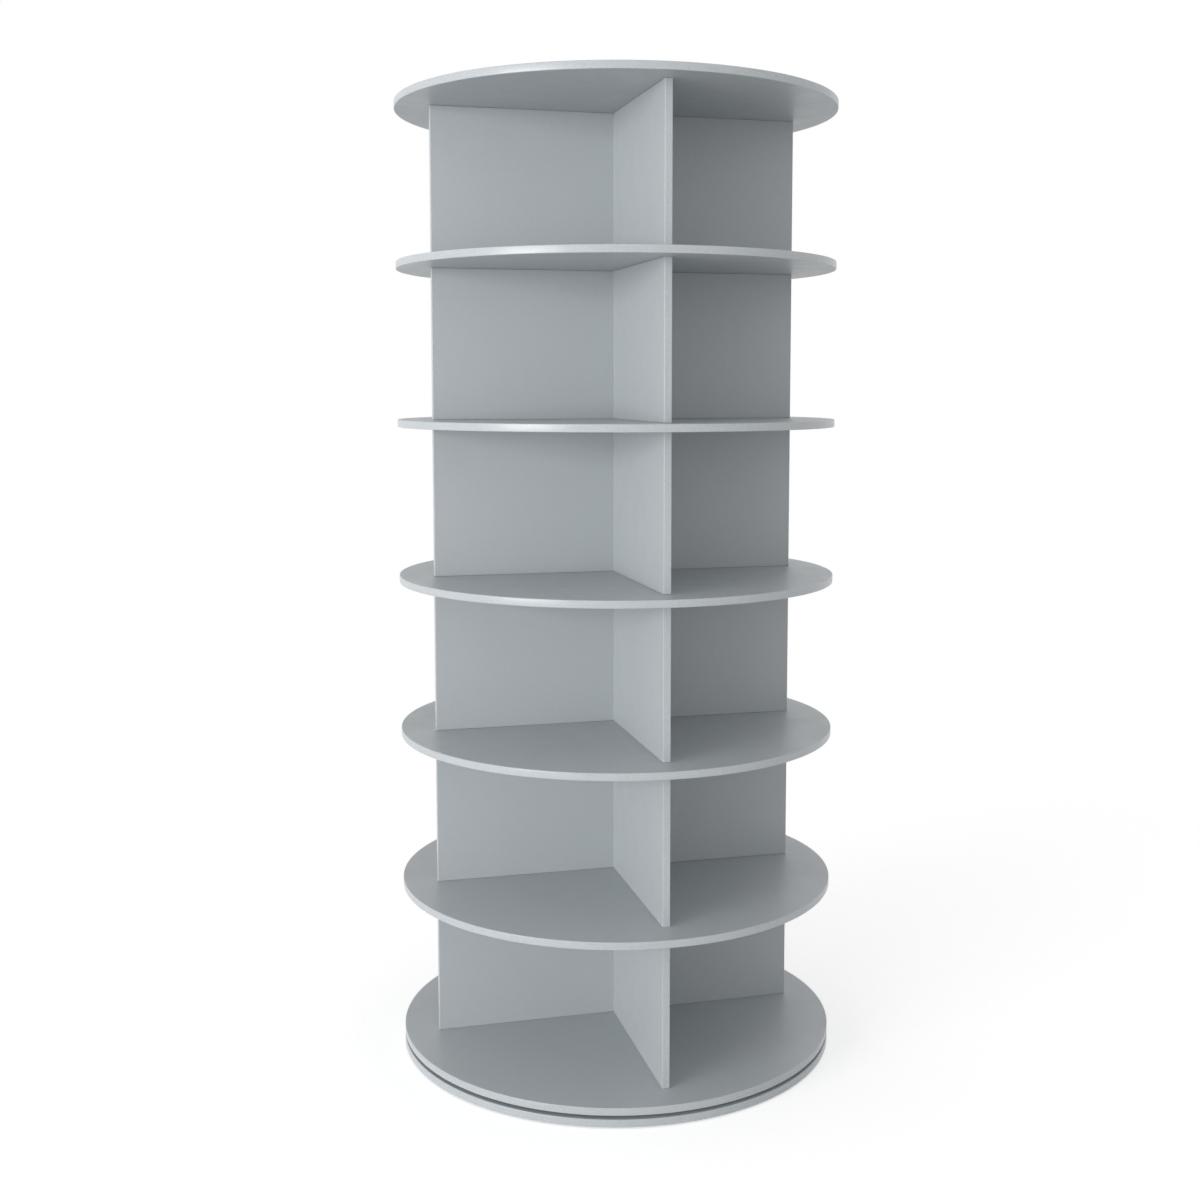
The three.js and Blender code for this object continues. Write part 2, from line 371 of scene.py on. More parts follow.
@dataclass(frozen=True)
class EdgeBand(Finish):
    """A plastic edge band: a little glossier than the faces, with drawn streaks and flecks."""

    name: str = "edge_band_around"
    dark: Colour = BAND.shaded(0.98)
    pale: Colour = BAND.shaded(1.02)
    shade: Grain = Grain(0.0009, 2.0, (0.3, 0.7), Lay.AROUND)
    gloss: Grain = Grain(0.0009, 2.0, (0.3, 0.7), Lay.AROUND)
    flecks: Grain = Grain(0.0034, 1.0, (0.38, 0.62))
    fleck: Colour = BAND.shaded(1.05)
    skin: Grain = Grain(0.0022)
    depth: float = 0.00006
    roughness: Span = (0.26, 0.38)

    def laid(self, lay: Lay) -> "EdgeBand":
        """The same band with its streaks laid another way."""
        streaks = replace(self.shade, lay=lay)
        return replace(self, name=f"edge_band_{lay.name.lower()}", shade=streaks, gloss=streaks)


@dataclass(frozen=True)
class ChipCore(Finish):
    """Raw chipboard: pressed chips of pale wood with dark and light flecks."""

    name: str = "chipboard_core"
    dark: Colour = Colour(0.52, 0.41, 0.29)
    pale: Colour = Colour(0.78, 0.68, 0.53)
    shade: Grain = Grain(0.00374, 4.0)
    skin: Grain = Grain(0.0022, 0.0, scattered=True)
    depth: float = 0.00012
    roughness: Span = (0.75, 0.92)


@dataclass(frozen=True)
class TurnedRing(Finish):
    """Satin aluminium with the fine round marks of the lathe."""

    name: str = "satin_aluminium"
    dark: Colour = Colour(0.744, 0.7533, 0.7626)
    pale: Colour = Colour(0.84, 0.8505, 0.861)
    shade: Grain = Grain(0.0005, 3.0, (0.25, 0.75), Lay.TURNED)
    depth: float = 0.000008
    roughness: Span = (0.256, 0.416)
    metallic: float = 1.0


@dataclass(frozen=True)
class BrightSteel(Finish):
    """Bright steel with fine marks that lie all ways."""

    name: str = "bright_steel"
    dark: Colour = Colour(0.6882, 0.6882, 0.6789)
    pale: Colour = Colour(0.777, 0.777, 0.7665)
    shade: Grain = Grain(0.0005, 3.0, (0.25, 0.75))
    depth: float = 0.000008
    roughness: Span = (0.16, 0.26)
    metallic: float = 1.0


@dataclass(frozen=True)
class MilkyNylon(Finish):
    """Moulded nylon: milky, with a faint fine texture."""

    name: str = "milky_nylon"
    dark: Colour = Colour(0.864, 0.8544, 0.8256)
    pale: Colour = Colour(0.9, 0.89, 0.86)
    shade: Grain = Grain(0.015)
    skin: Grain = Grain(0.0005, 3.0)
    depth: float = 0.00001
    roughness: Span = (0.42, 0.58)


@dataclass(frozen=True)
class TurnedBeech(Finish):
    """Turned beech: warm pale wood with grain along Z and short dark flecks."""

    name: str = "turned_beech"
    dark: Colour = Colour(0.66, 0.49, 0.32)
    pale: Colour = Colour(0.84, 0.69, 0.50)
    shade: Grain = Grain(0.0009, 4.0, (0.3, 0.7), Lay.GRAINED)
    skin: Grain = Grain(0.0009, 4.0, lay=Lay.GRAINED)
    depth: float = 0.00003
    roughness: Span = (0.55, 0.75)


@dataclass(frozen=True)
class PadRubber(Finish):
    """Matt black rubber with a fine pitted skin."""

    name: str = "pad_rubber"
    dark: Colour = Colour(0.1275, 0.13175, 0.136)
    pale: Colour = Colour(0.1725, 0.17825, 0.184)
    shade: Grain = Grain(0.0008, 3.0)
    depth: float = 0.00005
    roughness: Span = (0.7, 0.9)
    specular: float = 0.35


@dataclass(frozen=True)
class StudioFloor:
    """A white floor that keeps the shadow near the tower and fades to plain white far off."""

    colour: Colour = Colour(0.87, 0.87, 0.87)
    lift: float = 0.52
    fade: Span = (0.9, 2.2)

    def build(self) -> Material:
        """Makes the finish.

        Returns:
            Its material, whose lift and plain white only show and light nothing.
        """
        sheet = NodeSheet("studio_floor")
        seen = sheet.seen()
        far = sheet.ranged(sheet.length(sheet.place), window=self.fade)
        diffuse = sheet.add("ShaderNodeBsdfDiffuse", {"Color": self.colour}).outputs["BSDF"]
        lift = sheet.mixed(seen, sheet.glow(0.0), sheet.glow(self.lift))
        near = sheet.add("ShaderNodeAddShader", {0: diffuse, 1: lift}).outputs["Shader"]
        share = sheet.combined("MULTIPLY", far, seen)
        return sheet.ended(sheet.mixed(share, near, sheet.glow(1.0)))


class Palette:
    """Every finish of the tower, built once."""

    def __init__(self) -> None:
        """Builds the finishes in the photograph's colours."""
        self.face = Laminate().build()
        self.bands = {lay: EdgeBand().laid(lay).build() for lay in (Lay.AROUND, Lay.UPRIGHT)}
        self.core = ChipCore().build()
        self.aluminium = TurnedRing().build()
        self.steel = BrightSteel().build()
        self.nylon = MilkyNylon().build()
        self.beech = TurnedBeech().build()
        self.rubber = PadRubber().build()

    def board(self, lay: Lay) -> list[Material]:
        """The materials of a board in the order of Region, with its band's streaks so laid."""
        return [self.face, self.bands[lay], self.core]


# Surfaces


@dataclass
class Shell:
    """A closed surface: its points, and faces of three, four or more corners with regions."""

    points: np.ndarray
    faces: list[np.ndarray]
    regions: list[np.ndarray]

    def moved(self, x: float, y: float) -> "Shell":
        """The same surface carried across in plan."""
        return Shell(self.points + np.array([x, y, 0.0]), self.faces, self.regions)

    def copies(self, places: np.ndarray) -> list["Shell"]:
        """The same surface at each of some places in plan."""
        return [self.moved(x, y) for x, y in places]

    def quarter_turned(self) -> "Shell":
        """The same surface turned a quarter turn about Z, so that X becomes Y."""
        x, y, z = self.points.T
        return Shell(np.stack([-y, x, z], axis=1), self.faces, self.regions)

    @staticmethod
    def together(shells: list["Shell"]) -> "Shell":
        """Puts several surfaces into one.

        Args:
            shells: The surfaces, which keep their places.

        Returns:
            One surface of all of them.
        """
        starts = np.cumsum([0] + [len(s.points) for s in shells[:-1]])
        return Shell(
            np.concatenate([s.points for s in shells]),
            [f + start for s, start in zip(shells, starts) for f in s.faces],
            [r for s in shells for r in s.regions],
        )

    def object(self, name: str, materials: list[Material]) -> Piece:
        """Puts the surface into the scene.

        Args:
            name: The object's name.
            materials: Its material slots.

        Returns:
            The new object, at the origin.
        """
        mesh = bpy.data.meshes.new(name)
        faces = sum((block.tolist() for block in self.faces), [])
        mesh.from_pydata(self.points.tolist(), [], faces)
        for material in materials:
            mesh.materials.append(material)
        mesh.polygons.foreach_set("material_index", np.concatenate(self.regions).astype(np.int32))
        mesh.update()
        made = bpy.data.objects.new(name, mesh)
        bpy.context.scene.collection.objects.link(made)
        return made


def quads_between(numbers: np.ndarray) -> np.ndarray:
    """The quads of a grid of corner numbers whose rows are closed rings.

    Quad (i, j) has corners (i, j), (i, j + 1), (i + 1, j + 1) and (i + 1, j), with j taken
    round the ring.

    Args:
        numbers: The corner numbers, one ring a row.

    Returns:
        The quads, as an array of rows by columns by four.
    """
    lower, upper = numbers[:-1], numbers[1:]
    return np.stack(
        [lower, np.roll(lower, -1, axis=1), np.roll(upper, -1, axis=1), upper], axis=-1,
    )


def turned(
    profile: np.ndarray, steps: int, regions: np.ndarray | int = 0, closed: bool = False,
) -> Shell:
    """Turns a profile about Z.

    Point (i, j) is (r_i cos t_j, r_i sin t_j, z_i), where t_j is j full turns over steps. A row
    of radius zero is a single pole, and its quads are triangles.

    Args:
        profile: Rows of radius and height, up the outside.
        steps: The number of columns.
        regions: The region of the faces that start at each row, or of them all.
        closed: Whether the last row joins the first, as on a ring.

    Returns:
        The closed surface.
    """
    angles = np.arange(steps) * (2.0 * math.pi / steps)
    radii, heights = np.asarray(profile, float).T
    pole = radii <= 0.0
    grid = np.stack(np.broadcast_arrays(
        radii[:, None] * np.cos(angles), radii[:, None] * np.sin(angles), heights[:, None],
    ), axis=-1)
    kept = ~pole[:, None] | (np.arange(steps) == 0)
    numbers = (np.cumsum(kept.ravel()) - 1).reshape(kept.shape)
    numbers[pole] = numbers[pole, :1]
    quads = quads_between(np.concatenate([numbers, numbers[:1]]) if closed else numbers)
    marks = np.repeat(np.broadcast_to(regions, len(quads)), steps)
    quads = quads.reshape(-1, 4)
    low, high = quads[:, 0] == quads[:, 1], quads[:, 2] == quads[:, 3]
    whole = ~(low | high)
    return Shell(
        grid[kept],
        [quads[whole], quads[low][:, [0, 2, 3]], quads[high][:, [0, 1, 2]]],
        [marks[whole], marks[low], marks[high]],
    )


def stacked(
    loops: np.ndarray, heights: np.ndarray, sides: np.ndarray | int = 0, ends: int = 0,
) -> Shell:
    """Stacks plan outlines into an upright board with flat ends.

    Point (i, j) is outline i's corner j at height i.

    Args:
        loops: Outlines of the same number of corners, counter-clockwise, lowest first.
        heights: The height of each outline.
        sides: The region of the faces that start at each corner, or of them all.
        ends: The region of the two flat ends.

    Returns:
        The closed surface.
    """
    rows, corners = loops.shape[:2]
    level = np.broadcast_to(heights[:, None, None], (rows, corners, 1))
    numbers = np.arange(rows * corners).reshape(rows, corners)
    return Shell(
        np.concatenate([loops, level], axis=2).reshape(-1, 3),
        [quads_between(numbers).reshape(-1, 4), numbers[:1, ::-1], numbers[-1:]],
        [np.tile(np.broadcast_to(sides, corners), rows - 1), np.full(2, ends)],
    )


def arc(centre: Span, radius: float, start: float, end: float, steps: int) -> np.ndarray:
    """Points of a circular arc.

    Point k is the centre plus radius times (cos a, sin a), with a going evenly from start to
    end in steps.

    Args:
        centre: The arc's centre.
        radius: Its radius.
        start: The angle of its first point.
        end: The angle of its last point.
        steps: How many steps it takes.

    Returns:
        The steps + 1 points.
    """
    angles = np.linspace(start, end, steps + 1)
    return np.array(centre) + radius * np.stack([np.cos(angles), np.sin(angles)], axis=1)


def places_round(count: int, radius: float, start: float = 0.0) -> np.ndarray:
    """Even places on a circle about Z, the first at the start angle."""
    return arc((0.0, 0.0), radius, start, start + 4.0 * QUARTER, count)[:-1]


def round_tool(radius: float, low: float, high: float, steps: int) -> Shell:
    """An upright round cutting tool on the Z axis, which leaves bare core."""
    profile = np.array([[0.0, low], [radius, low], [radius, high], [0.0, high]])
    return turned(profile, steps, Region.CORE)


# Pieces on the frame


def levels(node: str) -> Span:
    """The heights of a CAD node's underside and top."""
    low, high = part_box(node)
    return low.z, high.z


def middle(node: str) -> Span:
    """The middle of a CAD node in plan."""
    low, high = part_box(node)
    return (low.x + high.x) / 2.0, (low.y + high.y) / 2.0


def cut(piece: Piece, tools: list[Shell]) -> Piece:
    """Cuts tools out of a piece and keeps the result as its mesh.

    Args:
        piece: The piece to cut.
        tools: Closed surfaces, which don't touch one another.

    Returns:
        The piece.
    """
    tool = Shell.together(tools).object("cutting_tool", list(piece.data.materials))
    modifier = piece.modifiers.new("cut", "BOOLEAN")
    modifier.operation = "DIFFERENCE"
    modifier.solver = "EXACT"
    modifier.material_mode = "INDEX"
    modifier.object = tool
    graph = bpy.context.evaluated_depsgraph_get()
    made = bpy.data.meshes.new_from_object(piece.evaluated_get(graph))
    old, spent = piece.data, tool.data
    piece.modifiers.clear()
    piece.data = made
    made.name = piece.name
    bpy.data.objects.remove(tool)
    for mesh in (old, spent):
        bpy.data.meshes.remove(mesh)
    return piece


SMOOTH_BELOW = math.radians(32.0)
LEVEL_ABOVE = 0.99999


def finish_piece(piece: Piece, body: Body, slot: Slot, *nodes: str) -> None:
    """Smooths a piece's round faces, fixes it to its body and reports it.

    A face that squarely faces an axis stays flat, and an edge above the smoothing angle sharp.

    Args:
        piece: The piece, in its place.
        body: The body that it moves with.
        slot: The record's material slot; not used.
        nodes: The CAD nodes that it stands for, if any.
    """
    mesh = piece.data
    normals = np.empty(len(mesh.polygons) * 3, np.float32)
    mesh.polygons.foreach_get("normal", normals)
    level = np.abs(normals.reshape(-1, 3)).max(axis=1) > LEVEL_ABOVE
    mesh.set_sharp_from_angle(angle=SMOOTH_BELOW)
    mesh.polygons.foreach_set("use_smooth", ~level)
    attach(piece, body.value)
    if nodes:
        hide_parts(*nodes)
    log.info("%s: %d faces on %s", piece.name, len(mesh.polygons), body.value)


# Sizes that the boards and the bearing share


OVERRUN = 0.001


@dataclass(frozen=True)
class BoardSizes:
    """The sizes of the laminate boards."""

    radius: float = 0.300
    thickness: float = 0.010
    arris: float = 0.0009
    arris_steps: int = 5
    band: float = 0.0010
    seam_width: float = 0.00022
    seam_depth: float = 0.00012
    ring_shares: Span = (0.45, 0.8)
    seam_rings: Span = (2.0, 0.5)  # the last rings of a face, in seam widths before the seam
    steps: int = 288

    @property
    def seam(self) -> float:
        """The radius of the seam between a round board's face and its band."""
        return self.radius - self.band


@dataclass(frozen=True)
class DowelSizes:
    """The sizes of the dowels and of the holes that take them."""

    radius: float = 0.003
    hole_radius: float = 0.0032
    reach: float = 0.1785
    end_clearance: float = 0.0005
    depth_in_divider: float = 0.015
    depth_in_end_disc: float = 0.007
    hole_steps: int = 24
    per_level: int = 4

    def tools(self, low: float, high: float) -> list[Shell]:
        """A level's dowel holes between two heights."""
        tool = round_tool(self.hole_radius, low, high, self.hole_steps)
        return tool.copies(places_round(self.per_level, self.reach))


@dataclass(frozen=True)
class BearingSizes:
    """The sizes of the ring bearing and its recesses."""

    outer_radius: float = 0.149
    inner_radius: float = 0.111
    ball_circle: float = 0.130
    ball_radius: float = 0.002
    groove_radius: float = 0.0023
    groove_steps: int = 12
    split: float = 0.0024
    chamfer: float = 0.0006
    recess_depth: float = 0.002
    recess_fit: float = 0.0005
    running_clearance: float = 0.003
    screw_hole: float = 0.0022
    screw_head: float = 0.0042
    head_depth: float = 0.0022
    hole_steps: int = 32
    pilot: float = 0.0013
    pilot_depth: float = 0.005
    pilot_steps: int = 16
    access_hole: float = 0.008
    access_steps: int = 48
    screws: int = 4
    steps: int = 192

    def walls(self, ring: Ring) -> Span:
        """The radii of a ring's grooved wall and of its plain one."""
        plain = self.outer_radius if ring is Ring.OUTER else self.inner_radius
        return self.ball_circle + ring.value * self.split / 2.0, plain

    def recess(self, ring: Ring) -> Span:
        """The radii of the recess that holds a ring and clears the other."""
        play = (self.running_clearance, self.recess_fit)[::ring.value]
        return self.inner_radius - play[0], self.outer_radius + play[1]

    def screw_places(self, ring: Ring) -> np.ndarray:
        """The places of a ring's screws, the inner ring's half a step further round."""
        start = 0.0 if ring is Ring.OUTER else QUARTER / 2.0
        return places_round(self.screws, sum(self.walls(ring)) / 2.0, start)

    def pilots(self, ring: Ring, face: float) -> list[Shell]:
        """The pilot holes of a ring's screws, in the floor of its recess.

        Args:
            ring: The ring, whose screws go down from the outer one and up from the inner one.
            face: The height of the board's face.

        Returns:
            The cutting tools.
        """
        floor = face - ring.value * self.recess_depth
        ends = (floor - ring.value * self.pilot_depth, floor + ring.value * OVERRUN)
        tool = round_tool(self.pilot, *sorted(ends), self.pilot_steps)
        return tool.copies(self.screw_places(ring))


# Boards


@dataclass
class RoundBoard:
    """A round laminate board with a banded rim, on the place of a CAD disc.

    A recess is given by the radii of its two walls, and lies above or below.
    """

    node: str
    name: str
    body: Body
    palette: Palette
    recess_above: Span | None = None
    recess_below: Span | None = None
    sizes: BoardSizes = BoardSizes()
    recess_depth: float = BearingSizes().recess_depth

    def half_face(self, recess: Span | None) -> np.ndarray:
        """One flat face from the middle to the arris, as rows of radius and depth below it.

        The face is level but for its recess and a fine seam of V section beside the band.

        Args:
            recess: The radii of the recess's walls, if the face has one.

        Returns:
            The rows.
        """
        size, depth = self.sizes, self.recess_depth
        inner_ring, outer_ring = (size.radius * share for share in size.ring_shares)
        rows = [(inner_ring, 0.0)]
        if recess:
            inner, outer = recess
            rows = [
                (inner - size.band, 0.0), (inner, 0.0), (inner, depth),
                (outer, depth), (outer, 0.0), (outer + size.band, 0.0),
            ]
        last = [size.seam - widths * size.seam_width for widths in size.seam_rings]
        rows += [(radius, 0.0) for radius in (outer_ring, *last)]
        return np.array([*rows, (size.seam, size.seam_depth)])

    def shell(self) -> Shell:
        """The board's surface, turned from one profile up the outside.

        A face is band beyond the seam, bare core in a recess, and laminate elsewhere.

        Returns:
            The closed surface.
        """
        size, (low, high) = self.sizes, levels(self.node)
        circle, bend = size.radius - size.arris, size.arris
        over = self.half_face(self.recess_above)[::-1] * [1.0, -1.0] + [0.0, high]
        profile = np.concatenate([
            [[0.0, low]],
            self.half_face(self.recess_below) + [0.0, low],
            arc((circle, low + bend), bend, -QUARTER, 0.0, size.arris_steps),
            arc((circle, high - bend), bend, 0.0, QUARTER, size.arris_steps),
            over,
            [[0.0, high]],
        ])
        radii, heights = ((profile[:-1] + profile[1:]) / 2.0).T
        sunk = (heights > low) & (heights < high) & (radii < size.seam - size.seam_width / 2.0)
        marks = np.select([radii > size.seam, sunk], [Region.BAND, Region.CORE], Region.FACE)
        return turned(profile, size.steps, marks)

    def build(self, tools: list[Shell]) -> None:
        """Makes the board, cuts its holes with the tools and fixes it to its body."""
        piece = cut(self.shell().object(self.name, self.palette.board(Lay.AROUND)), tools)
        finish_piece(piece, self.body, Slot.LAMINATE, self.node)


@dataclass
class Divider:
    """A divider board on edge, halved into its partner, on the place of a CAD divider."""

    node: str
    name: str
    slotted_from_above: bool
    palette: Palette
    half_length: float = 0.255
    ease: float = 0.0003
    lap_clearance: float = 0.000006
    sizes: BoardSizes = BoardSizes()
    dowels: DowelSizes = DowelSizes()

    def outline(self, inset: float) -> np.ndarray:
        """The plan outline, a rectangle with round arrises and a fine seam beside each band.

        Each corner is a quarter circle about the arris's middle, whose radius is the arris less
        the inset; the seams are shallow notches in the two long sides, one band's thickness from
        each end.

        Args:
            inset: How far it lies inside the board's own outline.

        Returns:
            The corners, counter-clockwise.
        """
        size = self.sizes
        width, half = size.thickness / 2.0 - inset, size.seam_width / 2.0
        corner_middle = (self.half_length - size.arris, size.thickness / 2.0 - size.arris)
        corner = arc(corner_middle, size.arris - inset, 0.0, QUARTER, size.arris_steps)
        seam = self.half_length - size.band - size.seam_width
        notch = [[seam + half, width], [seam, width - size.seam_depth], [seam - half, width]]
        right = np.concatenate([corner, notch])
        upper = np.concatenate([right, right[::-1] * [-1.0, 1.0]])
        return np.concatenate([upper, -upper])

    def shell(self) -> Shell:
        """The board's surface, of stacked plan outlines with both sawn edges eased.

        Returns:
            The closed surface, along X.
        """
        low, high = levels(self.node)
        heights = np.array([low, low + self.ease, high - self.ease, high])
        loops = np.stack([self.outline(inset) for inset in (self.ease, 0.0, 0.0, self.ease)])
        along = np.abs(loops[1] + np.roll(loops[1], -1, axis=0))[:, 0] / 2.0
        banded = along > self.half_length - self.sizes.band - self.sizes.seam_width
        sides = np.where(banded, Region.BAND, Region.FACE)
        return stacked(loops, heights, sides, Region.CORE)

    def tools(self) -> list[Shell]:
        """The halving slot and the dowel holes of a divider along X.

        Returns:
            The cutting tools.
        """
        half, gap, hole = self.sizes.thickness / 2.0, self.lap_clearance, self.dowels
        low, high = levels(self.node)
        lap = (low + high) / 2.0
        ends = (low - OVERRUN, lap + gap / 2.0)
        if self.slotted_from_above:
            ends = (lap - gap / 2.0, high + OVERRUN)
        wide, deep = half + gap, half + OVERRUN
        square = np.array([[-wide, -deep], [wide, -deep], [wide, deep], [-wide, deep]])
        slot = stacked(np.stack([square, square]), np.array(ends), Region.CORE, Region.CORE)
        depth = hole.depth_in_divider + hole.end_clearance
        holes = [
            round_tool(hole.hole_radius, bottom, top, hole.hole_steps)
            for bottom, top in ((low - OVERRUN, low + depth), (high - depth, high + OVERRUN))
        ]
        return [slot, *(tool.moved(x, 0.0) for x in (-hole.reach, hole.reach) for tool in holes)]

    def build(self) -> None:
        """Makes the divider, cuts it and fixes it to the tower."""
        shell, tools = self.shell(), self.tools()
        if not self.slotted_from_above:
            shell, tools = shell.quarter_turned(), [tool.quarter_turned() for tool in tools]
        piece = cut(shell.object(self.name, self.palette.board(Lay.UPRIGHT)), tools)
        finish_piece(piece, Body.TOWER, Slot.LAMINATE, self.node)


@dataclass
class Dowels:
    """The fluted dowels of one level, each on the place of its CAD node."""

    level: int
    palette: Palette
    flutes: int = 12
    steps_per_flute: int = 4
    flute_depth: float = 0.0002
    chamfer: float = 0.0007
    sizes: DowelSizes = DowelSizes()

    def shell(self, node: str) -> Shell:
        """A dowel's surface.

        Point (i, j) has radius r_i (1 - f (1 + cos n t_j) / 2), with n flutes of share f of the
        radius, so that a flute runs the whole length.

        Args:
            node: The dowel's CAD node.

        Returns:
            The closed surface, in its place.
        """
        radius, chamfer, (low, high) = self.sizes.radius, self.chamfer, levels(node)
        profile = np.array([
            [0.0, low], [radius - chamfer, low], [radius, low + chamfer],
            [radius, high - chamfer], [radius - chamfer, high], [0.0, high],
        ])
        shell = turned(profile, self.flutes * self.steps_per_flute)
        angles = np.arctan2(shell.points[:, 1], shell.points[:, 0])
        wave = (1.0 + np.cos(self.flutes * angles)) / 2.0
        shell.points[:, :2] *= (1.0 - wave * self.flute_depth / radius)[:, None]
        return shell.moved(*middle(node))

    def build(self) -> None:
        """Makes the level's dowels and fixes them to the tower."""
        for number in range(1, self.sizes.per_level + 1):
            place = f"level_{self.level}_{number}"
            piece = self.shell(f"dowel_{place}").object(f"peg_{place}", [self.palette.beech])
            finish_piece(piece, Body.TOWER, Slot.BEECH, f"dowel_{place}")


# Assemblies


@dataclass
class TowerBoards:
    """The seven turning discs, the twelve dividers and the dowels between them."""

    palette: Palette
    tiers: int = 6
    bearing: BearingSizes = BearingSizes()
    dowels: DowelSizes = DowelSizes()

    def discs(self) -> None:
        """Makes the bottom shelf, the shelves above it and the top disc.

        The dowel holes go right through a shelf, and are blind in the lowest and the highest.
        """
        holes, bearing = self.dowels, self.bearing
        blind = holes.depth_in_end_disc + holes.end_clearance
        low, high = levels("bottom_shelf")
        RoundBoard(
            "bottom_shelf", "bottom_shelf_board", Body.TOWER, self.palette,
            recess_below=bearing.recess(Ring.INNER),
        ).build(holes.tools(high - blind, high + OVERRUN) + bearing.pilots(Ring.INNER, low))
        for number in range(2, self.tiers + 1):
            node = f"shelf_{number}"
            low, high = levels(node)
            board = RoundBoard(node, f"shelf_board_{number}", Body.TOWER, self.palette)
            board.build(holes.tools(low - OVERRUN, high + OVERRUN))
        low = levels("top_disc")[0]
        top = RoundBoard("top_disc", "top_board", Body.TOWER, self.palette)
        top.build(holes.tools(low - OVERRUN, low + blind))

    def dividers(self) -> None:
        """Makes the two halved dividers of each tier."""
        for tier in range(1, self.tiers + 1):
            for kind, slotted_from_above in (("long", True), ("cross", False)):
                node, name = f"tier_{tier}_{kind}_divider", f"{kind}_divider_board_{tier}"
                Divider(node, name, slotted_from_above, self.palette).build()

    def build(self) -> None:
        """Makes every board of the tower and the dowels between them."""
        self.discs()
        self.dividers()
        for level in range(1, self.tiers + 2):
            Dowels(level, self.palette).build()


@dataclass
class FixedBase:
    """The base board that stands still, on its stick-on pads."""

    palette: Palette
    pads: int = 4
    pad_round: float = 0.0004
    pad_round_steps: int = 4
    pad_round_end: float = -math.pi / 8.0
    pad_ring_share: float = 0.5
    pad_steps: int = 64
    bearing: BearingSizes = BearingSizes()

    def board(self) -> None:
        """Makes the base board, with the bearing's recess above and one access hole."""
        (low, high), bearing = levels("base_disc"), self.bearing
        board = RoundBoard(
            "base_disc", "base_board", Body.BASE, self.palette,
            recess_above=bearing.recess(Ring.OUTER),
        )
        access = round_tool(
            bearing.access_hole, low - OVERRUN, high + OVERRUN, bearing.access_steps,
        ).copies(bearing.screw_places(Ring.INNER)[:1])
        board.build(bearing.pilots(Ring.OUTER, high) + access)

    def pad(self, number: int) -> None:
        """Makes one pad: a low cone that widens upwards, with its foot edge rounded.

        Args:
            number: The pad's number.
        """
        node = f"foot_pad_{number}"
        low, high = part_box(node)
        wide, soft = (high.x - low.x) / 2.0, self.pad_round
        foot = wide - (high.z - low.z)
        edge = arc(
            (foot - soft, low.z + soft), soft, -QUARTER, self.pad_round_end, self.pad_round_steps,
        )
        profile = np.concatenate([
            [[0.0, low.z], [foot * self.pad_ring_share, low.z], [foot - 2.0 * soft, low.z]],
            edge,
            [[wide, high.z], [0.0, high.z]],
        ])
        shell = turned(profile, self.pad_steps).moved(*middle(node))
        piece = shell.object(f"pad_{number}", [self.palette.rubber])
        finish_piece(piece, Body.BASE, Slot.RUBBER, node)

    def build(self) -> None:
        """Makes the base board and its pads."""
        self.board()
        for number in range(1, self.pads + 1):
            self.pad(number)


@dataclass
class RingScrew:
    """A countersunk screw with a cross recess, pointing up, its head's face at height zero."""

    palette: Palette
    length: float = 0.0115
    head_clearance: float = 0.0003
    head_edge: float = 0.0002
    core: float = 0.0012
    crest: float = 0.0017
    pitch: float = 0.0012
    plain_length: float = 0.0008
    ridge_shares: Span = (0.3, 0.6)
    cross_arm: float = 0.0024
    cross_half: float = 0.0004
    cross_depth: float = 0.0011
    cross_taper: float = 0.7
    steps: int = 24
    sizes: BearingSizes = BearingSizes()

    def shell(self) -> Shell:
        """The screw's surface, whose radius swells into a ridge at every pitch of the thread.

        Returns:
            The closed surface.
        """
        head, neck = self.sizes.screw_head - self.head_clearance, self.sizes.head_depth
        start = neck + self.plain_length
        count = int((self.length - start - self.pitch) / self.pitch)
        top, end = (self.pitch * share for share in self.ridge_shares)
        ridge = np.array([[self.core, start], [self.crest, start + top], [self.core, start + end]])
        thread = ridge + np.arange(count)[:, None, None] * [0.0, self.pitch]
        profile = np.concatenate([
            [[0.0, 0.0], [head, 0.0], [head, self.head_edge], [self.core, neck]],
            thread.reshape(-1, 2),
            [[0.0, self.length]],
        ])
        return turned(profile, self.steps)

    def cross(self) -> Shell:
        """The cross recess in the head: a plus sign that narrows with its depth.

        Returns:
            The cutting tool.
        """
        arm, half = self.cross_arm, self.cross_half
        plus = np.array([
            [arm, -half], [arm, half], [half, half], [half, arm], [-half, arm], [-half, half],
            [-arm, half], [-arm, -half], [-half, -half], [-half, -arm], [half, -arm],
            [half, -half],
        ])
        loops = np.stack([plus, plus * self.cross_taper])
        return stacked(loops, np.array([-OVERRUN, self.cross_depth]))

    def build(self, name: str, body: Body, place: Matrix) -> None:
        """Makes a screw, puts it in its place and fixes it to its body.

        Args:
            name: The piece's name.
            body: The body that it moves with.
            place: Where its head is, and which way it points.
        """
        piece = cut(self.shell().object(name, [self.palette.steel]), [self.cross()])
        piece.data.transform(place)
        finish_piece(piece, body, Slot.ALUMINIUM)


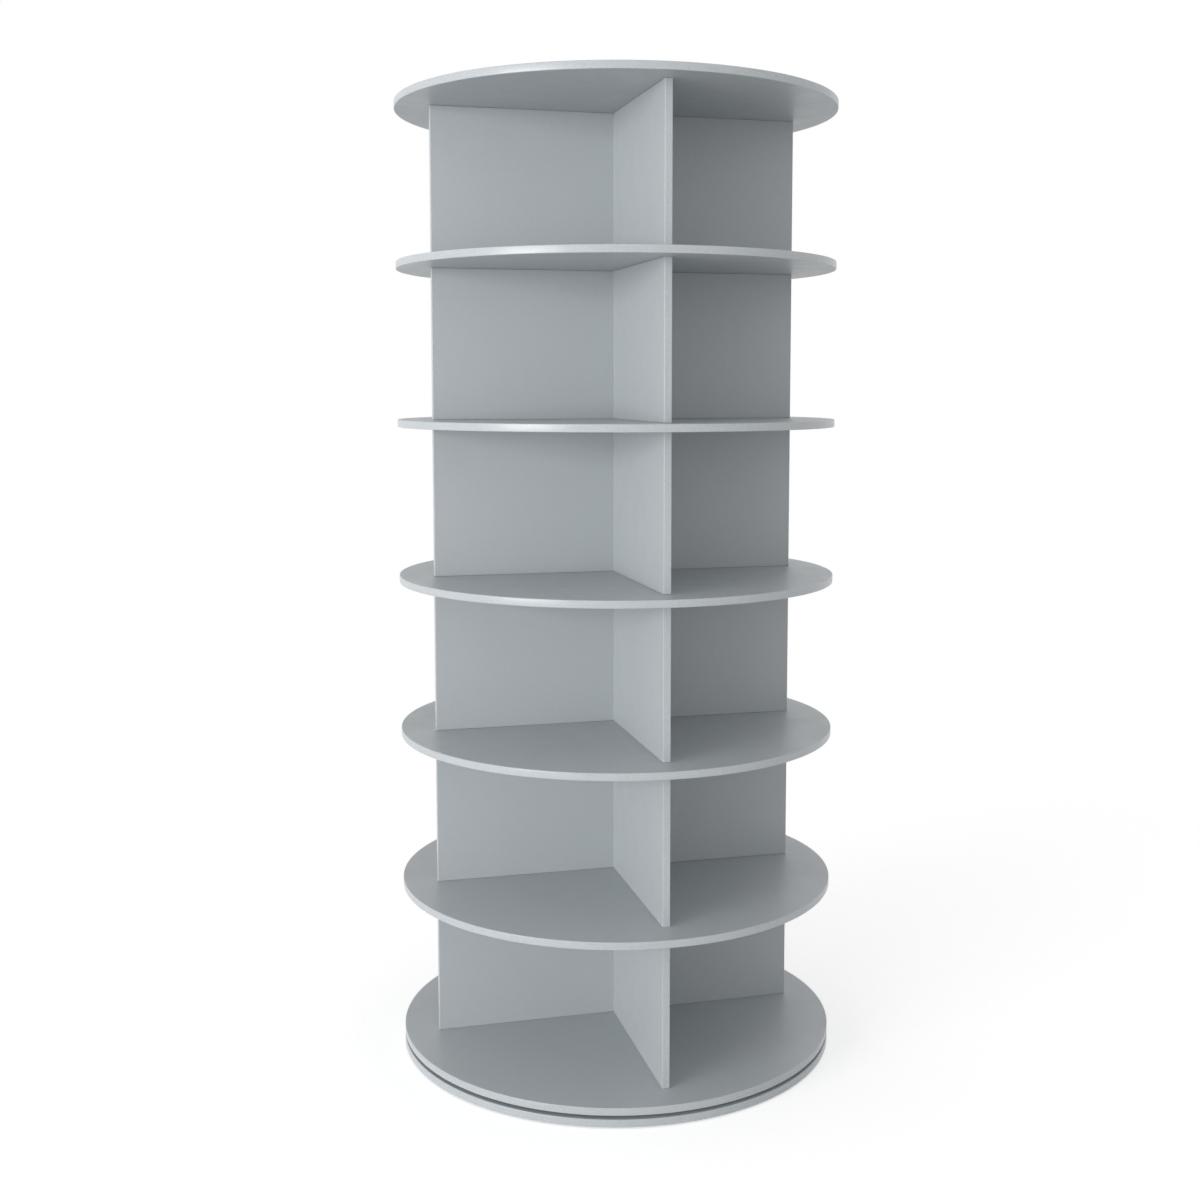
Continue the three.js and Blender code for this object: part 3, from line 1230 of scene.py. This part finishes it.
@dataclass
class RingBearing:
    """The turntable: two grooved rings, their screws, and the balls in their cage."""

    palette: Palette
    balls: int = 16
    ball_rows: int = 12
    ball_steps: int = 24
    cage_wall: float = 0.0014
    cage_height: float = 0.003
    cage_chamfer: float = 0.0002
    head_inset: float = 0.0002
    sizes: BearingSizes = BearingSizes()

    def ball_height(self) -> float:
        """The height of the balls' middles."""
        return sum(levels("ball_cage")) / 2.0

    def groove(self, ring: Ring) -> np.ndarray:
        """The ball groove in a ring's wall, an arc about the ball's middle.

        Args:
            ring: The ring.

        Returns:
            The rows from below the ball to above it.
        """
        size = self.sizes
        half = math.acos(size.split / 2.0 / size.groove_radius)
        rows = arc((0.0, 0.0), size.groove_radius, -half, half, size.groove_steps)
        return rows * [ring.value, 1.0] + [size.ball_circle, self.ball_height()]

    def hole_tool(self, ring: Ring, low: float, high: float) -> Shell:
        """A countersunk screw hole, its cone widening past the ring's face.

        Args:
            ring: The ring. The outer one has its screws' heads on top, the inner one below.
            low: The height of the ring's underside.
            high: The height of its top.

        Returns:
            The cutting tool, on the Z axis.
        """
        size = self.sizes
        slope = (size.screw_head - size.screw_hole) / size.head_depth
        depths = np.array([-OVERRUN, -OVERRUN, size.head_depth, *[high - low + OVERRUN] * 2])
        radii = [0.0, size.screw_head + slope * OVERRUN, size.screw_hole, size.screw_hole, 0.0]
        heights = high - depths if ring is Ring.OUTER else low + depths
        return turned(np.column_stack([radii, heights])[::-ring.value], size.hole_steps)

    def ring(self, ring: Ring) -> None:
        """Makes one ring, turned from its section and drilled, its plain wall chamfered.

        Args:
            ring: Which ring.
        """
        size, node = self.sizes, f"bearing_{ring.label}"
        (low, high), (wall, plain), soft = levels(node), size.walls(ring), size.chamfer
        near = plain - ring.value * soft
        section = np.array([
            [wall, low], [near, low], [plain, low + soft], [plain, high - soft], [near, high],
            [wall, high], *self.groove(ring)[::-1],
        ])
        shell = turned(section[::ring.value], size.steps, closed=True)
        holes = self.hole_tool(ring, low, high).copies(size.screw_places(ring))
        piece = cut(shell.object(ring.label, [self.palette.aluminium]), holes)
        finish_piece(piece, ring.body, Slot.ALUMINIUM, node)

    def screws(self, ring: Ring) -> None:
        """Makes a ring's screws, which point down from the outer ring, up from the inner one.

        Args:
            ring: Which ring.
        """
        low, high = levels(f"bearing_{ring.label}")
        face, turn = low + self.head_inset, 0.0
        if ring is Ring.OUTER:
            face, turn = high - self.head_inset, math.pi
        for number, (x, y) in enumerate(self.sizes.screw_places(ring), start=1):
            place = Matrix.Translation((x, y, face)) @ Matrix.Rotation(turn, 4, "X")
            RingScrew(self.palette).build(f"{ring.label}_screw_{number}", ring.body, place)

    def cage(self) -> None:
        """Makes the cage band and its balls, which turn together."""
        size, centre, soft = self.sizes, self.ball_height(), self.cage_chamfer
        half_wall, half_height = self.cage_wall / 2.0, self.cage_height / 2.0
        inner, outer = size.ball_circle - half_wall, size.ball_circle + half_wall
        bottom, top = centre - half_height, centre + half_height
        profile = np.array([
            [inner + soft, bottom], [outer - soft, bottom], [outer, bottom + soft],
            [outer, top - soft], [outer - soft, top], [inner + soft, top],
            [inner, top - soft], [inner, bottom + soft],
        ])
        band = turned(profile, size.steps, closed=True).object("cage_band", [self.palette.nylon])
        finish_piece(band, Body.CAGE, Slot.NYLON, "ball_cage")
        meridian = arc((0.0, centre), size.ball_radius, -QUARTER, QUARTER, self.ball_rows)
        meridian[[0, -1], 0] = 0.0
        ball = turned(meridian, self.ball_steps)
        balls = Shell.together(ball.copies(places_round(self.balls, size.ball_circle)))
        finish_piece(balls.object("cage_balls", [self.palette.steel]), Body.CAGE, Slot.NYLON)

    def build(self) -> None:
        """Makes the rings, then their screws, then the cage."""
        for make in (self.ring, self.screws):
            for ring in Ring:
                make(ring)
        self.cage()


# Studio


@dataclass
class Studio:
    """The floor, the lamp, the world and the camera."""

    floor_radius: float = 12.0
    floor_depth: float = 0.02
    floor_steps: int = 96
    key_turn: float = 58.0
    key_lift: float = 5.0
    key_distance: float = 6.0
    key_size: Span = (3.0, 1.8)
    key_power: float = 205.0
    horizon_strength: float = 0.84
    zenith_strength: float = 0.55
    aim: tuple[float, float, float] = (0.0, 0.0, 0.66)
    camera_turn: float = 14.46
    camera_distance: float = 2.1119
    camera_height: float = 0.9203
    camera_pitch: float = 5.268
    camera_clip: Span = (0.05, 60.0)
    picture: float = 1200.0
    focal_pixels: float = 1519.1
    centre_pixels: Span = (616.07, 526.0)
    sensor: float = 36.0

    def floor(self) -> None:
        """A wide round floor just under the pads."""
        radius, low = self.floor_radius, -self.floor_depth
        profile = np.array([[0.0, low], [radius, low], [radius, 0.0], [0.0, 0.0]])
        piece = turned(profile, self.floor_steps).object("floor", [StudioFloor().build()])

    def key(self) -> None:
        """The soft key lamp, a rectangle on the left that is aimed at the tower's middle."""
        data = bpy.data.lights.new("key", "AREA")
        data.shape = "RECTANGLE"
        data.size, data.size_y = self.key_size
        data.energy = self.key_power
        lamp = bpy.data.objects.new("key", data)
        side, rise = math.radians(self.key_turn), math.radians(self.key_lift)
        back = Vector((
            -math.sin(side) * math.cos(rise), -math.cos(side) * math.cos(rise), math.sin(rise),
        ))
        lamp.location = Vector(self.aim) + back * self.key_distance
        lamp.rotation_euler = (-back).to_track_quat("-Z", "Y").to_euler()
        bpy.context.scene.collection.objects.link(lamp)

    def world(self) -> None:
        """A pale world, stronger at the horizon, that is plain white where it is seen."""
        sheet = NodeSheet("studio_world", world=True)
        way = sheet.add("ShaderNodeSeparateXYZ", {"Vector": sheet.coordinates["Generated"]})
        rise = sheet.ranged(way.outputs["Z"], (self.horizon_strength, self.zenith_strength))
        soft, white = (
            sheet.add("ShaderNodeBackground", {"Color": WHITE, "Strength": strength})
            for strength in (rise, 1.0)
        )
        mixed = sheet.mixed(sheet.seen(), soft.outputs["Background"], white.outputs["Background"])
        bpy.context.scene.world = sheet.ended(mixed)

    def camera(self) -> None:
        """The camera at the photograph's viewing angle."""
        data = bpy.data.cameras.new("camera")
        data.sensor_width = self.sensor
        data.lens = self.focal_pixels / self.picture * self.sensor
        centre = self.picture / 2.0
        data.shift_x = (centre - self.centre_pixels[0]) / self.picture
        data.shift_y = (self.centre_pixels[1] - centre) / self.picture
        data.clip_start, data.clip_end = self.camera_clip
        camera = bpy.data.objects.new("camera", data)
        turn, back = math.radians(self.camera_turn), -self.camera_distance
        camera.location = (back * math.sin(turn), back * math.cos(turn), self.camera_height)
        camera.rotation_euler = (math.radians(90.0 - self.camera_pitch), 0.0, -turn)
        bpy.context.scene.collection.objects.link(camera)
        bpy.context.scene.camera = camera

    def build(self) -> None:
        """Sets up the whole studio."""
        self.floor()
        self.world()
        self.key()
        self.camera()
        bpy.context.scene.view_settings.view_transform = "Standard"


def main() -> None:
    """Builds the studio and the tower, and reports each assembly."""
    logging.basicConfig(level=logging.INFO, format="%(name)s: %(message)s")
    Studio().build()
    palette = Palette()
    for assembly in (FixedBase(palette), RingBearing(palette), TowerBoards(palette)):
        assembly.build()
        log.info("%s: done", type(assembly).__name__)


if __name__ == "__main__":
    main()
